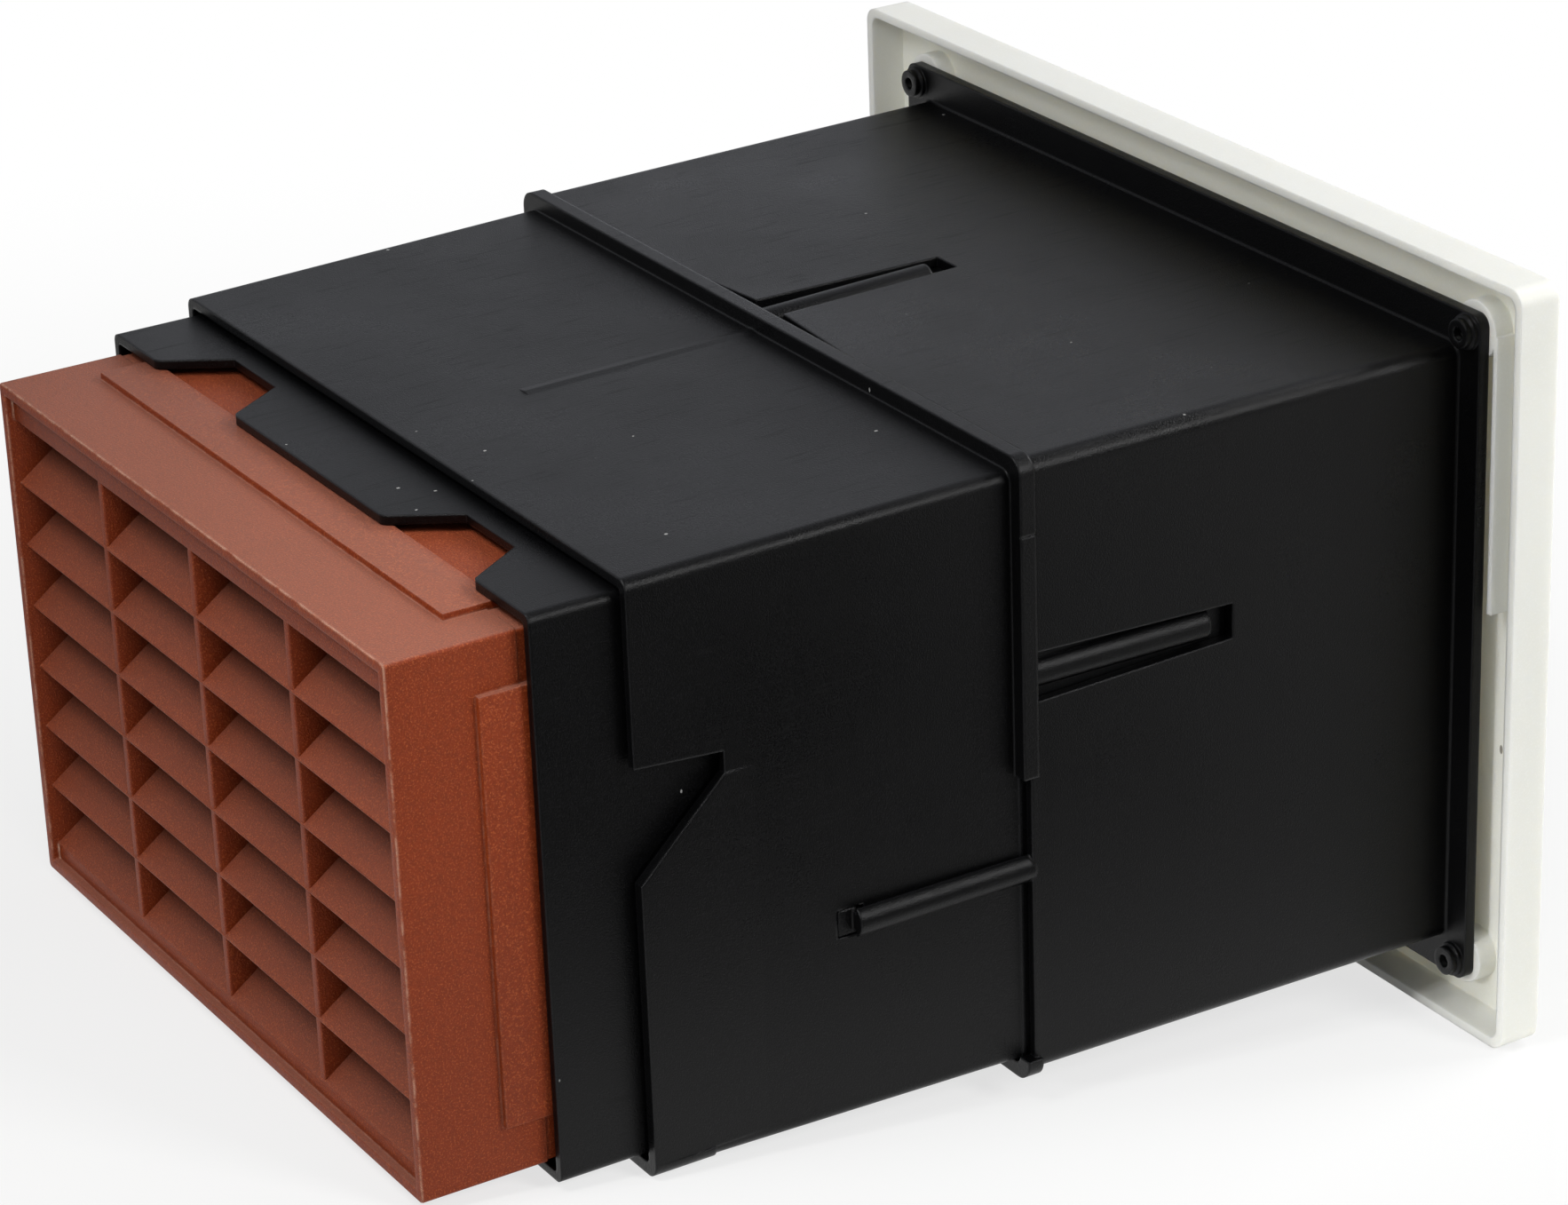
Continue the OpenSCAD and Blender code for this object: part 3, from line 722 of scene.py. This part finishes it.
@dataclass
class LouvredBrick:
    """The terracotta air brick: a wall round an open back, raised panels and a louvre grid."""

    width: float = 215 * MM
    height: float = 140 * MM
    depth: float = 60 * MM
    face_y: float = -11.3 * MM
    wall: float = 3 * MM
    edge_r: float = 1.2 * MM
    box_r: float = 0.3 * MM
    lip: float = 0.5 * MM
    tail_y: float = 34 * MM
    tail_step: float = 0.4 * MM
    recess: float = 2 * MM
    stagger: float = 0.15 * MM
    rail_top: float = 10 * MM
    rail_bottom: float = 7.5 * MM
    panel_y: float = 22.6 * MM
    panel_len: float = 15 * MM
    panel_rise: float = 1.7 * MM
    panel_inset: float = 13.7 * MM
    rows: int = 7
    columns: int = 4
    mullion: float = 2.6 * MM
    mullion_r: float = 0.4 * MM
    run: float = 20 * MM
    slope: float = 36.0
    blade_lip: float = 0.9 * MM
    blade_back: float = 2.2 * MM
    blade_r: float = 0.35 * MM
    finish: MouldedPlastic = TERRACOTTA
    pieces: list[bpy.types.Object] = field(default_factory=list)

    def build(self) -> None:
        """Makes the shell, the louvres and the uprights."""
        material = self.finish.make()
        self.pieces = [self.shell(material), self.louvres(material), self.uprights(material)]

    def shell(self, material: bpy.types.Material) -> bpy.types.Object:
        """Makes the outer wall, the rails and the locating panels.

        Args:
            material: The brick's finish.

        Returns:
            The shell's object.
        """
        front, back = self.face_y, self.face_y + self.depth
        tail, lip, wall, step = front + self.tail_y, self.lip, self.wall, self.tail_step
        soft = lip * (1 - math.sqrt(0.5))
        stations = [
            (front + lip, 0.0), (tail, 0.0), (tail, step), (back - lip, step),
            (back - soft, step + soft), (back, step + lip), (back, wall - lip),
            (back - soft, wall - soft), (back - lip, wall), (front + lip, wall),
            (front + soft, wall - soft), (front, wall - lip), (front, lip), (front + soft, soft),
        ]
        middle = self.height / 2
        loops = []
        for y, inset in stations:
            radius = max(self.edge_r - inset / 2, self.edge_r / 3)
            loops.append(round_loop(self.width / 2 - inset, middle - inset, radius, y, middle))
        bm = bmesh.new()
        ring_mesh(bm, loops)
        self.rails(bm)
        self.panels(bm)
        return close_mesh("brick_shell", bm, material)

    def rails(self, bm: bmesh.types.BMesh) -> None:
        """Adds the rails above and below the louvres.

        Args:
            bm: The shell's mesh.
        """
        sunk = self.wall / 2
        side = self.width / 2 - sunk
        front = self.face_y + self.recess + self.stagger
        spans = ((sunk, self.rail_bottom), (self.height - self.rail_top, self.height - sunk))
        for low, high in spans:
            soft_box(bm, (-side, front, low), (side, front + self.wall, high), self.box_r)

    def panels(self, bm: bmesh.types.BMesh) -> None:
        """Adds the four raised panels that locate the brick in the front sleeve.

        Args:
            bm: The shell's mesh.
        """
        start = self.face_y + self.panel_y
        end = start + self.panel_len
        half, sunk, rise = self.width / 2, self.wall / 2, self.panel_rise
        reach = half - self.panel_inset
        for low, high in ((-rise, sunk), (self.height - sunk, self.height + rise)):
            soft_box(bm, (-reach, start, low), (reach, end, high), self.box_r)
        foot, head = self.panel_inset, self.height - self.panel_inset
        for low, high in ((-half - rise, -half + sunk), (half - sunk, half + rise)):
            soft_box(bm, (low, start, foot), (high, end, head), self.box_r)

    def louvres(self, material: bpy.types.Material) -> bpy.types.Object:
        """Makes the sloping blades by a pattern of rows.

        Args:
            material: The brick's finish.

        Returns:
            The louvres' object.
        """
        pattern = Pattern("louvre_rows")
        reach = self.width / 2 - self.wall / 2
        pitch = (self.height - self.rail_top - self.rail_bottom) / self.rows
        rise = self.run * math.tan(math.radians(self.slope))
        first = (0.0, self.face_y + self.recess, self.height - self.rail_top - pitch)
        corners = {
            "Point 1": pattern.spot("Lip Foot", (0.0, self.blade_lip, 0.0)),
            "Point 2": pattern.spot("Lip Head", (0.0, 0.0, 0.0)),
            "Point 3": pattern.spot("Back Head", (-self.run, -rise, 0.0)),
            "Point 4": pattern.spot("Back Foot", (-self.run, self.blade_back - rise, 0.0)),
        }
        outline = pattern.shape("CurvePrimitiveQuadrilateral", corners, mode="POINTS")
        outline = pattern.fillet(outline, pattern.size("Lip Radius", self.blade_r))
        ends = {
            "Start": pattern.spot("Left End", (-reach, 0.0, 0.0)),
            "End": pattern.spot("Right End", (reach, 0.0, 0.0)),
        }
        blade = pattern.sweep(pattern.shape("CurvePrimitiveLine", ends), outline)
        rows = {
            "Count": pattern.count("Rows", self.rows),
            "Start Location": pattern.spot("First Row", first),
            "Offset": pattern.spot("Row Step", (0.0, 0.0, -pitch)),
        }
        return pattern.run("brick_louvres", pattern.repeat(blade, rows), material)

    def uprights(self, material: bpy.types.Material) -> bpy.types.Object:
        """Makes the upright mullions by a pattern of columns.

        Args:
            material: The brick's finish.

        Returns:
            The mullions' object.
        """
        pattern = Pattern("mullion_columns")
        inner = self.width - 2 * self.wall
        pitch = inner / self.columns
        middle_y = self.face_y + self.recess + 2 * self.stagger + self.run / 2
        section = {
            "Width": pattern.size("Mullion Width", self.mullion),
            "Height": pattern.size("Mullion Depth", self.run),
        }
        outline = pattern.shape("CurvePrimitiveQuadrilateral", section)
        outline = pattern.fillet(outline, pattern.size("Edge Radius", self.mullion_r))
        ends = {
            "Start": pattern.spot("Foot", (0.0, 0.0, self.wall / 2)),
            "End": pattern.spot("Head", (0.0, 0.0, self.height - self.wall / 2)),
        }
        bar = pattern.sweep(pattern.shape("CurvePrimitiveLine", ends), outline)
        columns = {
            "Count": pattern.count("Uprights", self.columns - 1),
            "Start Location": pattern.spot("First Upright", (pitch - inner / 2, middle_y, 0.0)),
            "Offset": pattern.spot("Column Step", (pitch, 0.0, 0.0)),
        }
        return pattern.run("brick_mullions", pattern.repeat(bar, columns), material)

    def dress(self) -> None:
        """Rides the pieces on the brick's body in place of the plain solid."""
        for piece in self.pieces:
            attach(piece, Body.HEAD.value)
            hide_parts("air_brick")
            report(piece)


@dataclass
class WallSleeve:
    """The three black sleeves, kept as the frame's own solids."""

    nodes: tuple[str, ...] = ("front_sleeve", "middle_sleeve", "rear_sleeve")
    finish: MouldedPlastic = BLACK_SATIN

    def dress(self) -> None:
        """Gives the sleeves their finish."""
        finish_nodes(self.nodes, self.finish.make())


@dataclass
class RoomCover:
    """The white louvred cover on the room side, kept as the frame's own solid."""

    nodes: tuple[str, ...] = ("room_cover",)
    finish: MouldedPlastic = COVER_WHITE

    def dress(self) -> None:
        """Gives the cover its finish."""
        finish_nodes(self.nodes, self.finish.make())


@dataclass
class CoverScrews:
    """The four countersunk screws through the cover into the flange's bosses."""

    half_x: float = 124.7 * MM
    half_z: float = 87.7 * MM
    middle: float = 70 * MM
    face_y: float = 294.2 * MM
    tip_y: float = 282.2 * MM
    shank_r: float = 1.45 * MM
    shank_sides: int = 32
    thread_r: float = 0.28 * MM
    thread_share: float = 0.62
    thread_sides: int = 4
    turns: float = 7.0
    turn_steps: int = 20
    head_r: float = 3.3 * MM
    head_h: float = 1.8 * MM
    head_sides: int = 40
    drive_span: float = 0.66
    drive_w: float = 0.9 * MM
    drive_depth: float = 0.9 * MM
    finish: BrightZinc = SCREW_ZINC
    pieces: list[bpy.types.Object] = field(default_factory=list)

    def build(self) -> None:
        """Makes the four screws by one pattern."""
        pattern = Pattern("cover_screw_set")
        length = self.face_y - self.tip_y
        screw = pattern.graph.add("GeometryNodeJoinGeometry")
        for part in (self.head(pattern), self.shank(pattern, length), self.thread(pattern, length)):
            pattern.tree.links.new(part, screw.inputs[0])
        spread = {
            "Size X": pattern.size("Span Across", 2 * self.half_x),
            "Size Y": pattern.size("Span Up", 2 * self.half_z),
            "Vertices X": 2, "Vertices Y": 2,
        }
        corners = pattern.shape("MeshGrid", spread)
        on_corners = {"Points": corners, "Instance": screw.outputs[0]}
        stand = {
            "Geometry": pattern.shape("InstanceOnPoints", on_corners),
            "Rotation": (math.radians(-90), 0.0, 0.0),
            "Translation": pattern.spot("Face Middle", (0.0, self.face_y, self.middle)),
        }
        copies = pattern.shape("Transform", stand)
        self.pieces = [pattern.run("cover_fixings", copies, self.finish.make())]

    def head(self, pattern: Pattern) -> Socket:
        """Makes the countersunk head and cuts the cross for the driver into it.

        Args:
            pattern: The screws' pattern.

        Returns:
            The head's shape.
        """
        cone = {
            "Vertices": self.head_sides, "Radius Top": pattern.size("Head Radius", self.head_r),
            "Radius Bottom": pattern.size("Neck Radius", self.shank_r),
            "Depth": pattern.size("Head Height", self.head_h),
        }
        head = pattern.shape("MeshCone", cone)
        head = pattern.move(head, pattern.spot("Head Lift", (0.0, 0.0, -self.head_h)))
        arm, deep = 2 * self.head_r * self.drive_span, 2 * self.drive_depth
        bars = {"Cross": (arm, self.drive_w, deep), "Cross Back": (self.drive_w, arm, deep)}
        cut = pattern.graph.add(
            "GeometryNodeMeshBoolean", {"Mesh 1": head}, operation="DIFFERENCE",
        )
        for name, size in bars.items():
            bar = pattern.shape("MeshCube", {"Size": pattern.spot(name, size)})
            pattern.tree.links.new(bar, cut.inputs["Mesh 2"])
        return cut.outputs[0]

    def shank(self, pattern: Pattern, length: float) -> Socket:
        """Makes the shank under the head.

        Args:
            pattern: The screws' pattern.
            length: Length of the whole screw.

        Returns:
            The shank's shape.
        """
        reach = length - self.head_h
        rod = {
            "Vertices": self.shank_sides, "Radius": pattern.size("Shank Radius", self.shank_r),
            "Depth": pattern.size("Shank Length", reach),
        }
        shank = pattern.shape("MeshCylinder", rod)
        drop = pattern.spot("Shank Drop", (0.0, 0.0, -self.head_h - reach / 2))
        return pattern.move(shank, drop)

    def thread(self, pattern: Pattern, length: float) -> Socket:
        """Winds the thread round the shank.

        Args:
            pattern: The screws' pattern.
            length: Length of the whole screw.

        Returns:
            The thread's shape.
        """
        radius = pattern.size("Thread Path", self.shank_r)
        helix = {
            "Resolution": self.turn_steps, "Rotations": pattern.size("Thread Turns", self.turns),
            "Start Radius": radius, "End Radius": radius,
            "Height": pattern.size("Thread Length", self.thread_share * length),
        }
        path = pattern.shape("CurveSpiral", helix)
        ridge = {
            "Resolution": self.thread_sides,
            "Radius": pattern.size("Thread Height", self.thread_r),
        }
        wound = pattern.sweep(path, pattern.shape("CurvePrimitiveCircle", ridge))
        return pattern.move(wound, pattern.spot("Thread Foot", (0.0, 0.0, self.thread_r - length)))

    def dress(self) -> None:
        """Rides the screws on the sleeve's body in place of the plain solids."""
        for piece in self.pieces:
            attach(piece, Body.SLEEVE.value)
            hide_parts("cover_screws")
            report(piece)


def finish_nodes(nodes: tuple[str, ...], material: bpy.types.Material) -> None:
    """Gives some of the frame's own solids a finish.

    Args:
        nodes: Names of the solids.
        material: Their finish.
    """
    for name in nodes:
        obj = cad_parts[name]
        for slot in obj.material_slots:
            slot.material = material
        report(obj)


def report(obj: bpy.types.Object) -> None:
    """Logs a finished piece with its count of faces."""
    LOG.info("%s: %d faces", obj.name, len(obj.data.polygons))


@dataclass(frozen=True)
class Softbox:
    """A square lamp that looks at the part's middle, with its power in watts."""

    name: str
    place: Spot
    size: float
    power: float


@dataclass(frozen=True)
class NarrowLamp:
    """A soft spotlight that points at one place, with its power in watts."""

    name: str
    place: Spot
    aim: Spot
    power: float
    angle: float = 14.0
    blend: float = 0.9
    size: float = 0.04


SOFTBOXES = (
    Softbox("top_softbox", (0.12, -0.05, 0.34), 0.12, 0.23),
    Softbox("front_softbox", (0.12, -0.5, 0.95), 0.35, 4.0),
    Softbox("side_softbox", (1.3, 0.75, 0.9), 0.5, 11.5),
    Softbox("room_softbox", (0.1, 1.2, 0.75), 0.5, 7.0),
)
CORNER_LAMP = NarrowLamp("corner_spot", (0.25, -0.5, 0.35), (0.135, 0.285, -0.02), 9.0)


@dataclass
class Studio:
    """A white floor, softboxes round the part and the photograph's camera."""

    FLOOR_TONE: ClassVar[Colour] = (0.85, 0.85, 0.84)
    FRONT_TONE: ClassVar[Colour] = (0.35, 0.35, 0.345)
    WHITE_SPAN: ClassVar[Span] = (0.2, 0.75)
    NEAR_WHITE: ClassVar[float] = 0.72
    FRONT_WAY: ClassVar[Spot] = (-0.39, -0.92, 0.0)
    FRONT_SPAN: ClassVar[Span] = (0.08, 0.2)
    FRONT_DARK: ClassVar[float] = 0.5
    RIGHT_SPAN: ClassVar[Span] = (0.155, 0.26)
    RIGHT_END: ClassVar[Span] = (0.29, 0.39)
    RIGHT_DARK: ClassVar[Span] = (0.97, 0.3)
    WALL_WAY: ClassVar[Spot] = (-0.82, 0.5, 0.0)
    WALL_SPAN: ClassVar[Span] = (0.0, 0.45)
    LEAN_WAY: ClassVar[Spot] = (-0.3, 0.95, 0.0)
    LEAN_SPAN: ClassVar[Span] = (0.55, 0.8)
    LEAN_LEVEL: ClassVar[Span] = (0.75, 1.15)
    FILL_WAY: ClassVar[Spot] = (0.0, 1.0, 0.0)
    FILL_SPAN: ClassVar[Span] = (-0.9, 0.1)
    MIRROR_TINT: ClassVar[Colour] = (0.96, 0.98, 1.05)

    eye: Spot = (1.02193, -0.45067, 0.60207)
    turn: Spot = (65.96698, 1.95415, 58.35483)
    lens: float = 113.91
    sensor: float = 36.0
    clip: Span = (0.05, 50.0)
    middle: Spot = (0.0, 0.15, 0.07)
    rest_front: Span = (47.0 * MM, -9.0 * MM)
    rest_back: Span = (281.2 * MM, -35.1 * MM)
    floor_reach: float = 6.0
    floor_gap: float = 0.3 * MM
    ambient: float = 0.2
    front: float = 0.46
    dim: float = 0.06
    backdrop: float = 0.62

    def build(self) -> None:
        """Makes the camera, the floor and the light."""
        scene = bpy.context.scene
        scene.view_settings.view_transform = "Standard"
        self.camera(scene)
        self.floor()
        self.world(scene)
        for box in SOFTBOXES:
            data = bpy.data.lights.new(box.name, "AREA")
            data.shape, data.size, data.energy = "SQUARE", box.size, box.power
            self.hang(data, box.place, self.middle)
        lamp = CORNER_LAMP
        data = bpy.data.lights.new(lamp.name, "SPOT")
        data.energy, data.shadow_soft_size = lamp.power, lamp.size
        data.spot_size, data.spot_blend = math.radians(lamp.angle), lamp.blend
        self.hang(data, lamp.place, lamp.aim)

    def camera(self, scene: bpy.types.Scene) -> None:
        """Sets the camera where the photograph was taken from.

        Args:
            scene: The scene that looks through it.
        """
        data = bpy.data.cameras.new("camera")
        data.lens, data.sensor_width, data.sensor_fit = self.lens, self.sensor, "HORIZONTAL"
        data.clip_start, data.clip_end = self.clip
        obj = bpy.data.objects.new("camera", data)
        obj.location = self.eye
        obj.rotation_euler = Euler([math.radians(angle) for angle in self.turn])
        scene.collection.objects.link(obj)
        scene.camera = obj

    def floor(self) -> None:
        """Lays the floor that the middle sleeve's front edge and the cover's rim rest on."""
        front_y, front_z = self.rest_front
        back_y, back_z = self.rest_back
        fall = (back_z - front_z) / (back_y - front_y)
        reach = self.floor_reach
        bm = bmesh.new()
        corners = []
        for x, y in ((-reach, -reach), (reach, -reach), (reach, reach), (-reach, reach)):
            z = front_z + fall * (y - front_y) - self.floor_gap
            corners.append(bm.verts.new((x, y, z)))
        bm.faces.new(corners)
        obj = close_mesh("floor", bm, self.floor_paint())

    def floor_paint(self) -> bpy.types.Material:
        """Builds the floor's paint, which keeps a soft shadow and turns white further out.

        The floor is darker in reflections in front of the part and to its right.

        Returns:
            The floor's material.
        """
        material = bpy.data.materials.new("white_floor")
        material.use_nodes = True
        material.node_tree.nodes.clear()
        graph = Graph(material.node_tree)
        where = graph.place()
        rays = graph.add("ShaderNodeLightPath").outputs
        shift = {"Vector": where, "Location": (0.0, -self.middle[1], 0.0)}
        away = graph.add("ShaderNodeMapping", shift).outputs[0]
        far = graph.add("ShaderNodeVectorMath", {0: away}, operation="LENGTH").outputs["Value"]
        ahead = graph.ramp(graph.dot(where, self.FRONT_WAY), *self.FRONT_SPAN)
        right = graph.ramp(graph.axis(where, "X"), *self.RIGHT_SPAN)
        fade = graph.ramp(graph.axis(where, "Y"), *self.RIGHT_END, *self.RIGHT_DARK)
        shade = graph.larger(graph.product(ahead, self.FRONT_DARK), graph.product(right, fade))
        dark = graph.product(shade, rays["Is Glossy Ray"])
        share = graph.product(graph.ramp(far, *self.WHITE_SPAN, self.NEAR_WHITE), seen(graph))
        share = graph.larger(share, dark)
        tone = graph.mix(ahead, self.FLOOR_TONE, self.FRONT_TONE)
        paint = graph.add("ShaderNodeBsdfDiffuse", {"Color": tone}).outputs[0]
        bright = {"Color": opaque(WHITE), "Strength": graph.rest(dark)}
        light = graph.add("ShaderNodeEmission", bright).outputs[0]
        blend = graph.add("ShaderNodeMixShader", {0: share, 1: paint, 2: light}).outputs[0]
        graph.add("ShaderNodeOutputMaterial", {"Surface": blend})
        return material

    def world(self, scene: bpy.types.Scene) -> None:
        """Lights the scene softly from all round, with a white background.

        Args:
            scene: The scene to light.
        """
        world = bpy.data.worlds.new("studio")
        world.use_nodes = True
        world.node_tree.nodes.clear()
        graph = Graph(world.node_tree)
        towards = graph.place()
        rays = graph.add("ShaderNodeLightPath").outputs
        shown = seen(graph)
        wall = graph.dot(towards, self.WALL_WAY)
        wall = graph.ramp(wall, *self.WALL_SPAN, self.dim, self.backdrop)
        lean = graph.ramp(graph.dot(towards, self.LEAN_WAY), *self.LEAN_SPAN, *self.LEAN_LEVEL)
        mirror = graph.larger(graph.product(wall, lean), rays["Is Camera Ray"])
        fill = graph.dot(towards, self.FILL_WAY)
        fill = graph.ramp(fill, *self.FILL_SPAN, self.front, self.ambient)
        fill = graph.product(fill, graph.rest(shown))
        light = {
            "Color": graph.mix(rays["Is Glossy Ray"], WHITE, self.MIRROR_TINT),
            "Strength": graph.math("ADD", graph.product(mirror, shown), fill),
        }
        sky = graph.add("ShaderNodeBackground", light).outputs[0]
        graph.add("ShaderNodeOutputWorld", {"Surface": sky})
        scene.world = world

    def hang(self, data: bpy.types.Light, place: Spot, aim: Spot) -> None:
        """Puts a lamp in its place, out of the camera's sight.

        Args:
            data: The lamp.
            place: Where it hangs.
            aim: What it looks at.
        """
        obj = bpy.data.objects.new(data.name, data)
        obj.location = place
        obj.rotation_euler = (Vector(aim) - Vector(place)).to_track_quat("-Z", "Y").to_euler()
        obj.visible_camera = False
        bpy.context.scene.collection.objects.link(obj)


def seen(graph: Graph) -> Socket:
    """Tells what is looked at from what only gives light.

    Args:
        graph: The floor's or the world's graph.

    Returns:
        1 for rays from the camera, from gloss and through glass, and 0 for the rest.
    """
    rays = graph.add("ShaderNodeLightPath").outputs
    shown = graph.larger(rays["Is Camera Ray"], rays["Is Glossy Ray"])
    return graph.larger(shown, rays["Is Transmission Ray"])


def main() -> None:
    """Builds and dresses the part, piece by piece."""
    logging.basicConfig(level=logging.INFO, format="%(name)s %(message)s")
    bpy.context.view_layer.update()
    Studio().build()
    brick = LouvredBrick()
    brick.build()
    brick.dress()
    WallSleeve().dress()
    RoomCover().dress()
    screws = CoverScrews()
    screws.build()
    screws.dress()


if __name__ == "__main__":
    main()
